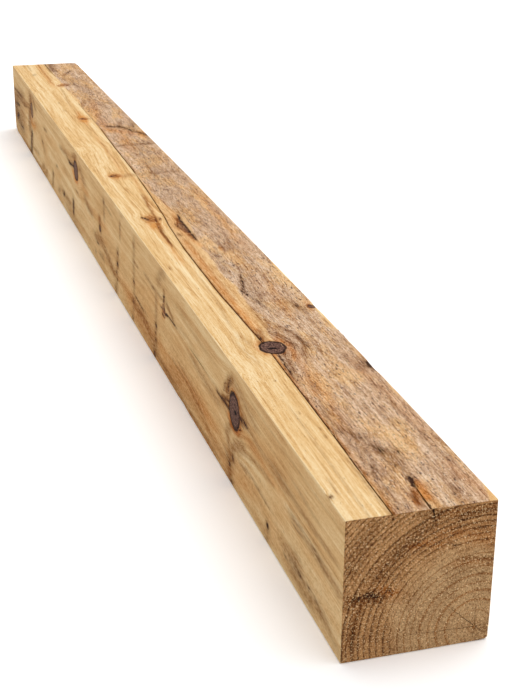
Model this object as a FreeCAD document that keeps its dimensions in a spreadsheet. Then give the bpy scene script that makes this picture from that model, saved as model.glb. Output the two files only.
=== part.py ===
# Rough sawn lumber: one square softwood timber, lying on one of its long faces.
#
# Frame, millimetres: X across the timber, Y along it, Z up. The origin is the middle of the
# face that it lies on, and the near end is the one at -Y. The timber is one solid: a sawn
# square with eased arrises, opened by the cracks that drying leaves in boxed-heart stock.
import FreeCAD, Part
import os
import Sketcher

# Driving sizes: millimetres, degrees, and shares. A share is a fraction of the length counted
# from the near end, of the width counted from the left face, or of the height from below.
SIZES = {
    "section_width": 160,
    "section_height": 160,
    "timber_length": 2400,
    "arris_radius": 3,
    "check_width": 1.2,
    "check_depth": 14,
    "split_width": 1.4,
    "split_length": 54,
    "split_depth": 19,
    "split_across": 0.56,
    "pith_across": 0.88,
    "pith_height": 0.11,
    "heart_check_width": 0.8,
    "heart_check_depth": 6,
    "heart_check_start": 4,
    "overrun": 1,
}

# The long seasoning check in the upper face, as (share of length, share of width) along its
# middle. A knot interrupts it, so it is two cracks: each closes at the knot and is open at its
# end of the timber.
CHECK_PATHS = {
    "near_check": [(0.170, 0.345), (0.078, 0.324), (0.0, 0.301)],
    "far_check": [(0.190, 0.342), (0.364, 0.331), (0.416, 0.387), (0.535, 0.447),
                  (0.695, 0.500), (1.0, 0.512)],
}

# Heart checks round the pith: direction from the right face towards the top, then length.
HEART_CHECKS = [(91, 25), (139, 50), (181, 34), (262, 10), (322, 10)]

PLACEHOLDER = 1.0

doc = FreeCAD.newDocument("rough_sawn_lumber")
sheet = doc.addObject("Spreadsheet::Sheet", "sizes")


def add_size(alias, value):
    """Write one named value in the next free row of the sheet."""
    row = len(sheet.getNonEmptyCells()) // 2 + 1
    sheet.set("A%d" % row, alias)
    sheet.set("B%d" % row, str(value))
    sheet.setAlias("B%d" % row, alias)


def origin_plane(body, role):
    """The body's own origin plane with that role, such as XY_Plane."""
    for feature in body.Origin.OriginFeatures:
        if feature.Role == role:
            return feature
    raise ValueError("no origin plane " + role)


def add_sketch(body, name, role, offset):
    """A sketch on an origin plane, moved along the plane's normal by an expression."""
    sketch = body.newObject("Sketcher::SketchObject", name)
    sketch.AttachmentSupport = (origin_plane(body, role), [""])
    sketch.MapMode = "FlatFace"
    sketch.setExpression("AttachmentOffset.Base.z", offset)
    return sketch


def tie(sketch, edge, direction, expression):
    """Tie one coordinate of an edge's first point to an expression."""
    number = sketch.addConstraint(
        Sketcher.Constraint("Distance" + direction, -1, 1, edge, 1, PLACEHOLDER))
    sketch.setExpression("Constraints[%d]" % number, expression)


def add_outline(sketch, corners):
    """A closed outline of straight edges. Each corner is a pair of expressions."""
    first = sketch.GeometryCount
    count = len(corners)
    spots = [FreeCAD.Vector(i, i * i, 0) for i in range(count)]
    for i in range(count):
        sketch.addGeometry(Part.LineSegment(spots[i], spots[(i + 1) % count]), False)
    for i in range(count):
        after = first + (i + 1) % count
        sketch.addConstraint(Sketcher.Constraint("Coincident", first + i, 2, after, 1))
    for i, (across, upward) in enumerate(corners):
        tie(sketch, first + i, "X", across)
        tie(sketch, first + i, "Y", upward)


def pocket(body, sketch, name, length, midplane=False, backwards=False):
    """Cut a sketch's outlines out of the body, and check that wood really was removed."""
    doc.recompute()
    before = body.Shape.Volume
    cut = body.newObject("PartDesign::Pocket", name)
    cut.Profile = sketch
    cut.Midplane = midplane
    cut.Reversed = backwards
    cut.setExpression("Length", length)
    doc.recompute()
    if body.Shape.Volume >= before:
        raise RuntimeError(name + " cuts nothing")


def sawn_square(body):
    """The squared timber, with its four long arrises eased."""
    section = add_sketch(body, "section", "XZ_Plane", "0")
    half_width = "sizes.section_width / 2"
    add_outline(section, [
        ("-" + half_width, "0"),
        (half_width, "0"),
        (half_width, "sizes.section_height"),
        ("-" + half_width, "sizes.section_height"),
    ])
    square = body.newObject("PartDesign::Pad", "sawn_square")
    square.Profile = section
    square.Midplane = True
    square.setExpression("Length", "sizes.timber_length")
    doc.recompute()
    arrises = []
    for number, edge in enumerate(square.Shape.Edges, start=1):
        if abs(edge.tangentAt(edge.FirstParameter).y) > 0.5:
            arrises.append("Edge%d" % number)
    eased = body.newObject("PartDesign::Fillet", "eased_arrises")
    eased.Base = (square, arrises)
    eased.setExpression("Radius", "sizes.arris_radius")


def seasoning_check(body, name, path):
    """One crack in the upper face, parallel-sided, closed at its first point."""
    for i, (along, across) in enumerate(path):
        add_size("%s_along_%d" % (name, i), along)
        add_size("%s_across_%d" % (name, i), across)
    doc.recompute()

    def corner(i, side, beyond=""):
        across = "(sizes.%s_across_%d - 0.5) * sizes.section_width" % (name, i)
        along = "(sizes.%s_along_%d - 0.5) * sizes.timber_length" % (name, i)
        if side:
            across += " %s sizes.check_width / 2" % side
        return (across, along + beyond)

    last = len(path) - 1
    outwards = "+" if path[last][0] > path[0][0] else "-"
    beyond = " %s sizes.overrun" % outwards
    corners = [corner(0, "")]
    corners += [corner(i, "-") for i in range(1, last)]
    corners += [corner(last, "-", beyond), corner(last, "+", beyond)]
    corners += [corner(i, "+") for i in range(last - 1, 0, -1)]
    sketch = add_sketch(body, name + "_outline", "XY_Plane", "sizes.section_height")
    add_outline(sketch, corners)
    pocket(body, sketch, name, "sizes.check_depth")


def end_split(body):
    """The short split at the near end: a thin wedge, deepest at the end face."""
    across = "(sizes.split_across - 0.5) * sizes.section_width"
    sketch = add_sketch(body, "end_split_outline", "YZ_Plane", across)
    end_face = "-sizes.timber_length / 2"
    outside = end_face + " - sizes.overrun"
    inner_tip = end_face + " + sizes.split_length"
    above = "sizes.section_height + sizes.overrun"
    root = "sizes.section_height - sizes.split_depth"
    add_outline(sketch, [
        (outside, root),
        (end_face, root),
        (inner_tip, "sizes.section_height"),
        (inner_tip, above),
        (outside, above),
    ])
    pocket(body, sketch, "end_split", "sizes.split_width", midplane=True)


def heart_checks(body, name, end_face, backwards):
    """Fine cracks that run out from the pith, cut into one end face."""
    sketch = add_sketch(body, name + "_outline", "XZ_Plane", end_face)
    pith_x = "(sizes.pith_across - 0.5) * sizes.section_width"
    pith_z = "sizes.pith_height * sizes.section_height"
    root = "sizes.heart_check_start"
    half = "sizes.heart_check_width / 2"
    for i in range(len(HEART_CHECKS)):
        cosine = "cos(sizes.heart_angle_%d)" % i
        sine = "sin(sizes.heart_angle_%d)" % i
        tip = "(%s + sizes.heart_length_%d)" % (root, i)
        add_outline(sketch, [
            (f"{pith_x} + {root} * {cosine} + {half} * {sine}",
             f"{pith_z} + {root} * {sine} - {half} * {cosine}"),
            (f"{pith_x} + {tip} * {cosine}",
             f"{pith_z} + {tip} * {sine}"),
            (f"{pith_x} + {root} * {cosine} - {half} * {sine}",
             f"{pith_z} + {root} * {sine} + {half} * {cosine}"),
        ])
    pocket(body, sketch, name, "sizes.heart_check_depth", backwards=backwards)


for alias, value in SIZES.items():
    add_size(alias, value)
for i, (angle, length) in enumerate(HEART_CHECKS):
    add_size("heart_angle_%d" % i, angle)
    add_size("heart_length_%d" % i, length)
doc.recompute()

timber = doc.addObject("PartDesign::Body", "timber")
timber.Label = "timber"
timber.Placement = FreeCAD.Placement()
sawn_square(timber)
for check_name, check_path in CHECK_PATHS.items():
    seasoning_check(timber, check_name, check_path)
end_split(timber)
heart_checks(timber, "near_heart_checks", "sizes.timber_length / 2", backwards=False)
heart_checks(timber, "far_heart_checks", "-sizes.timber_length / 2", backwards=True)
doc.recompute()

for item in doc.Objects:
    if "Invalid" in item.State or "Error" in item.State:
        raise RuntimeError(item.Name + " failed to build")
if timber.Shape.isNull() or not timber.Shape.isValid() or len(timber.Shape.Solids) != 1:
    raise RuntimeError("timber is not one valid solid")

os.makedirs("parts", exist_ok=True)
timber.Shape.exportStep("parts/%s.step" % timber.Label)
box = timber.Shape.BoundBox
print("timber %.1f x %.1f x %.1f mm" % (box.XLength, box.YLength, box.ZLength))
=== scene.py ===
import math
import bpy
import numpy as np
from collections import namedtuple
from functools import reduce
from mathutils import Matrix, Vector, geometry, noise


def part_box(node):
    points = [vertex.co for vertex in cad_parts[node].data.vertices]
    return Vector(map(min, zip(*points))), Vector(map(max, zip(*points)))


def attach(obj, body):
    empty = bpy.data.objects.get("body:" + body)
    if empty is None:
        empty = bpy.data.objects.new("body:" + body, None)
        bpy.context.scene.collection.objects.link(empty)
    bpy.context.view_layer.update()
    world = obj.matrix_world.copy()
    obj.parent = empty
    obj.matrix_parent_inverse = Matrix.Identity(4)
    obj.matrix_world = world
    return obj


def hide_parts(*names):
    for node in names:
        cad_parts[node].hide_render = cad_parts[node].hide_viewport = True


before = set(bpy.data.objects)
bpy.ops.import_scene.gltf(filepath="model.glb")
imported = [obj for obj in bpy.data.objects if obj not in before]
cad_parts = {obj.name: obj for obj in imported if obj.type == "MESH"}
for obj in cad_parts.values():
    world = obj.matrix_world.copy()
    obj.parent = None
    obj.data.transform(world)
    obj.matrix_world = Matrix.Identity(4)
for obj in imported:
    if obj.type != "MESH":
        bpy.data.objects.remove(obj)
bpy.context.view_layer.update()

# ---------------------------------------------------------------------------------------
# The timber.
# One square of boxed-heart softwood, band-sawn on four sides and cross-cut square. It is a
# single piece; the long dark line on its upper face is a drying check, stopped by a knot.
# ---------------------------------------------------------------------------------------
MM = 0.001
timber_low, timber_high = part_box("timber")
WIDTH, LENGTH, HEIGHT = ((timber_high - timber_low) / MM)


def in_metres(across, along, up):
    """A place in millimetres from the lower left corner of the near end, in the frame."""
    return (timber_low.x + across * MM, timber_low.y + along * MM, timber_low.z + up * MM)


def rough(seed, *scaled):
    """Smooth noise from -1 to 1 at a place already divided by the size of its lumps."""
    return noise.noise(Vector(scaled) + Vector((seed * 17.3, seed * 5.1, seed * 9.7)))


def ease(value, low, high):
    """0 below low, 1 above high, smooth between."""
    share = min(max((value - low) / (high - low), 0.0), 1.0)
    return share * share * (3 - 2 * share)


def along_path(path, along):
    """The second value of a path of (along, value) points at a place along the timber."""
    return float(np.interp(along, [p[0] for p in path], [p[1] for p in path]))


# Cracks, in millimetres from the near end. A path gives the crack's place on its face:
# across from the left face, or up from the floor.
CHECK_PATH = [(0, 48.3), (100, 49.5), (190, 51.8), (404, 54.8), (456, 54.7), (500, 53.3), (640, 50.2),
              (840, 52.0), (960, 57.3), (1000, 61.0), (1150, 68.0), (1260, 72.0), (1300, 73.6), (1500, 76.2),
              (1650, 79.7), (1880, 79.5), (2080, 79.0), (2400, 81.0)]
CHECK_WIDTH = [(0, 1.5), (400, 1.7), (410, 0), (446, 0), (456, 1.8), (700, 1.6), (900, 1.2), (1150, 1.3),
               (1245, 1.5), (1258, 0.2), (1274, 0.2), (1290, 1.6), (1500, 1.3), (1680, 0.7), (1880, 0.5),
               (1900, 0), (2240, 0), (2270, 1.0), (2400, 1.4)]
CHECK_DEPTH = [(0, 5), (30, 9), (60, 13), (2350, 13), (2400, 6)]
SPLIT_PATH = [(0, 88.2), (25, 89.6), (54, 91.8), (2400, 92)]
SPLIT_WIDTH = [(0, 2.5), (30, 1.6), (48, 1.2), (56, 0), (2400, 0)]
SPLIT_DEPTH = [(0, 18.5), (54, 1), (2400, 1)]
SIDE_CRACK_PATH = [(0, 88.0), (160, 92.0), (340, 98.0), (420, 99.0), (512, 99.5), (2400, 97.0)]
SIDE_CRACK_WIDTH = [(0, 0.6), (150, 0.45), (330, 0.35), (352, 0), (405, 0), (412, 0.5), (520, 0.2),
                    (640, 0), (2400, 0)]
SIDE_CRACK_DEPTH = 2.5
COLUMN_GAP = 1.5
ARRIS_RADIUS = 1.4
ARRIS_STEPS = 4
TOP_INSET, SIDE_INSET, END_INSET = 0.45, 0.3, 1.1
RAGGED_REACH = 1.4

# The stick is a little fuller in the middle: how much its sides are less than the full size.
TAPER = [(0, 3.0), (60, 2.6), (130, 2.0), (250, 1.3), (380, 0.7), (600, 0.1), (900, 0), (1200, 0),
         (1640, 1.2), (2110, 2.6), (2400, 3.0)]

# Dents in the edges: place in millimetres, half-size, depth.
DENTS = [
    ((1.5, 52, 159), 4.5, 1.6),
    ((158, 0, 2), 6.0, 2.6),
    ((1, 1, 150), 3.0, 1.0),
    ((132, 0, 160), 3.0, 1.2),
    ((0, 0, 75), 3.5, 1.0),
    ((159, 2, 130), 4.0, 1.2),
    ((158, 340, 159), 9.0, 1.1),
    ((158, 552, 159), 8.0, 0.9),
    ((2, 1180, 159), 6.0, 1.3),
    ((159, 2390, 158), 8.0, 2.2),
    ((1, 2397, 2), 9.0, 3.0),
    ((158, 900, 2), 12.0, 2.0),
    ((1, 640, 1), 9.0, 0.7),
]


class Groove:
    """Three strips of the mesh that open into a crack where the crack is, and lie flat elsewhere."""

    def __init__(self, path, width, depth, slant):
        self.path, self.width, self.depth, self.slant = path, width, depth, slant

    def columns(self, along):
        """(place, inset) of the two lips and the two roots, in order."""
        middle = along_path(self.path, along)
        width = along_path(self.width, along)
        depth = self.depth if isinstance(self.depth, (int, float)) else along_path(self.depth, along)
        open_share = ease(width, 0.0, 0.3)
        lip = COLUMN_GAP * (1 - open_share) + width / 2 * open_share
        lip *= 1 + 0.25 * open_share * rough(3, along / 14, middle / 30, 0)
        root = lip * 0.45
        inset = depth * open_share
        drift = self.slant * inset
        return [(middle - lip, 0), (middle - root + drift, inset), (middle + root + drift, inset),
                (middle + lip, 0)]


long_check = Groove(CHECK_PATH, CHECK_WIDTH, CHECK_DEPTH, 0.25)
end_split = Groove(SPLIT_PATH, SPLIT_WIDTH, SPLIT_DEPTH, 0.18)
side_crack = Groove(SIDE_CRACK_PATH, SIDE_CRACK_WIDTH, SIDE_CRACK_DEPTH, 0.0)

# Round the section, seen from the near end: the corner where a face starts, the way it runs,
# its outward normal, its cracks and the strips between them, its inset, and its share of the
# baked picture's height.
Face = namedtuple("Face", "start way normal cracks strips inset baked_share")
FACES = {
    "top": Face((0, HEIGHT), (1, 0), (0, 1), [long_check, end_split], [26, 20, 36], TOP_INSET, 0.235),
    "right": Face((WIDTH, HEIGHT), (0, -1), (1, 0), [], [24], SIDE_INSET, 0.165),
    "bottom": Face((WIDTH, 0), (-1, 0), (0, -1), [], [14], 0.0, 0.095),
    "left": Face((0, 0), (0, 1), (-1, 0), [side_crack], [44, 32], SIDE_INSET, 0.235),
}
FACE_WIDTH = {"top": WIDTH, "right": HEIGHT, "bottom": WIDTH, "left": HEIGHT}


def surface_relief(across, along, up):
    """How far sawing, weather and drying have taken the surface down at a place, in mm."""
    grain = rough(1, across / 4.5, along / 90, up / 4.5) + 0.6 * rough(2, across / 2.2, along / 35, up / 2.2)
    saw = rough(4, 0, along / 3.6 + 0.35 * rough(5, across / 60, along / 200, up / 60), 0)
    sunk = 0.12 * grain + 0.05 * saw
    for place, size, depth in DENTS:
        apart = ((across - place[0]) ** 2 + ((along - place[1]) / 1.6) ** 2 + (up - place[2]) ** 2) / size**2
        if apart < 6:
            sunk += depth * math.exp(-apart) * (1 + 0.4 * rough(6, across / 2, along / 3, up / 2))
    return sunk


def station_list():
    """Places along the timber where its section is drawn: close together at the near end."""
    places = [END_INSET, 1.9, 2.8, 4.2, 6.5]
    while places[-1] < LENGTH - 12:
        places.append(places[-1] + 3.4 + 6.8 * places[-1] / LENGTH)
    places = [p for p in places if p < LENGTH - 9]
    return places + [LENGTH - 6.5, LENGTH - 4.2, LENGTH - 2.6, LENGTH - 1.8, LENGTH - END_INSET]


def section_outline(along):
    """Each point round the section: its face, its place across it, its depth in a crack, and how
    far round the next arris it is, from 0 to 1, or None on the flat."""
    entries = []
    for name, face in FACES.items():
        anchors = [[(ARRIS_RADIUS, 0)]]
        anchors += [crack.columns(along) for crack in face.cracks]
        anchors += [[(FACE_WIDTH[name] - ARRIS_RADIUS, 0)]]
        places = []
        for i, count in enumerate(face.strips):
            places += anchors[i]
            begin, finish = anchors[i][-1][0], anchors[i + 1][0][0]
            places += [(begin + (finish - begin) * k / count, 0) for k in range(1, count)]
        places.append(anchors[-1][0])
        entries += [(name, across, depth, None) for across, depth in places]
        entries += [(name, FACE_WIDTH[name], 0, k / ARRIS_STEPS) for k in range(1, ARRIS_STEPS)]
    return entries


def section(along):
    """The points of the section at one station, and the entries of its outline."""
    end_gap = min(along - END_INSET, LENGTH - END_INSET - along)
    fullness = 1 - along_path(TAPER, along) / HEIGHT
    entries = section_outline(along)
    points = []
    for name, across, depth, turn in entries:
        face = FACES[name]
        start, way, out = (np.array(value, float) for value in (face.start, face.way, face.normal))
        if turn is None:
            spot = start + way * across
        else:
            middle = start + way * (across - ARRIS_RADIUS) - out * ARRIS_RADIUS
            angle = turn * math.pi / 2
            out = out * math.cos(angle) + way * math.sin(angle)
            spot = middle + out * ARRIS_RADIUS
        sunk = surface_relief(spot[0], along, spot[1])
        if name != "bottom" or turn is not None:
            sunk = max(face.inset + sunk, 0.02)
        else:
            sunk = max(sunk, 0.0)
        ragged = 0.55 + 0.45 * rough(8, spot[0] / 2.5, spot[1] / 2.5, round(along / LENGTH))
        sunk += ragged * max(1 - end_gap / RAGGED_REACH, 0) ** 2
        spot = spot - out * (sunk + depth)
        points.append((spot[0] * fullness, along, spot[1] * fullness))
    return points, entries


stations = station_list()
sections = [section(along) for along in stations]
outline = sections[0][1]
COLUMNS = len(outline)
body_points = [point for points, _ in sections for point in points]
body_faces = []
for row in range(len(stations) - 1):
    for column in range(COLUMNS):
        after = (column + 1) % COLUMNS
        body_faces.append((row * COLUMNS + column, row * COLUMNS + after,
                           (row + 1) * COLUMNS + after, (row + 1) * COLUMNS + column))

# The heart checks run out from the pith on both ends: direction in degrees from the right
# face towards the top, length.
PITH = (141.0, 17.2)
HEART_CHECKS = [(91, 27), (137, 62), (178, 96), (262, 12), (322, 16), (3, 17)]
HEART_CHECK_WIDTH, HEART_CHECK_DEPTH = 0.9, 1.2


def end_relief(across, up, end):
    """How far back the cross-cut surface lies at a place on an end, in mm."""
    radius = math.hypot(across - PITH[0], up - PITH[1])
    rings = math.sin(radius * (0.9 + radius * 0.0012))
    fuzz = rough(11 + end, across / 1.8, up / 1.8, 0) + 0.7 * rough(13 + end, across / 5, up / 5, 0)
    kerf = rough(15 + end, (up + 0.25 * across) / 3.2, 0, 0)
    return 0.16 * fuzz + 0.07 * rings + 0.1 * kerf


def end_cap(points, end, spacing):
    """Triangles for one end: the outline as it stands, and a jittered field of points inside."""
    outline_2d = [Vector((p[0], p[2])) for p in points]
    field = list(outline_2d)
    depths = [0.0] * len(field)
    edges = []
    turn = 14 * end
    for angle, reach in HEART_CHECKS:
        way = Vector((math.cos(math.radians(angle + turn)), math.sin(math.radians(angle + turn))))
        aside = Vector((-way.y, way.x))
        steps = max(int(reach / 1.7), 3)
        for side in (-1, 0, 1):
            before = None
            for k in range(steps + 1):
                out = 1.5 + reach * k / steps
                width = HEART_CHECK_WIDTH / 2 * (1 - 0.6 * k / steps)
                width *= 1 + 0.5 * rough(18, out / 3, angle, 0)
                drift = 0.5 * rough(17, out / 6, angle, 0)
                spot = Vector(PITH) + way * out + aside * (drift + side * width)
                if not (3 < spot.x < WIDTH - 5.5 and 2.5 < spot.y < HEIGHT - 6):
                    break
                field.append(spot)
                depths.append(HEART_CHECK_DEPTH * (1 - 0.7 * k / steps) if side == 0 else 0.0)
                if before is not None:
                    edges.append((before, len(field) - 1))
                before = len(field) - 1
    taken = np.array([tuple(spot) for spot in field])
    dice = np.random.default_rng(5 + end)
    right_edge, top_edge = max(p[0] for p in points), max(p[2] for p in points)
    for across in np.arange(spacing, right_edge - spacing / 2, spacing):
        for up in np.arange(spacing, top_edge - spacing / 2, spacing):
            spot = Vector((across, up)) + Vector(dice.uniform(-0.3, 0.3, 2) * spacing)
            near = np.abs(taken - np.array(tuple(spot))).sum(1).min()
            if near > 0.6 * spacing:
                field.append(spot)
                depths.append(0.0)
    corners = [tuple(range(len(points)))]
    result = geometry.delaunay_2d_cdt(field, edges, corners, 1, 1e-5, True)
    return field, depths, result


body_points = [list(p) for p in body_points]
cap_faces = []
cap_depths = []
for end, (row, spacing) in enumerate([(0, 2.1), (len(stations) - 1, 3.2)]):
    first = row * COLUMNS
    outline_points = sections[row][0]
    field, depths, (found, _, triangles, came_from, _, _) = end_cap(outline_points, end, spacing)
    inwards = 1 if end == 0 else -1
    face_place = END_INSET if end == 0 else LENGTH - END_INSET
    numbers = []
    for spot, sources in zip(found, came_from):
        depth = depths[sources[0]] if sources else 0.0
        sunk = min(end_relief(spot.x, spot.y, end), 0.6) + depth
        if sources and sources[0] < len(outline_points):
            number = first + sources[0]
            body_points[number][1] = face_place + inwards * sunk
        else:
            number = len(body_points)
            body_points.append([spot.x, face_place + inwards * sunk, spot.y])
            cap_depths.append(depth)
        numbers.append(number)
    for triangle in triangles:
        a, b, c = (numbers[k] for k in triangle)
        cap_faces.append(((a, b, c) if end == 0 else (a, c, b), end))

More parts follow.
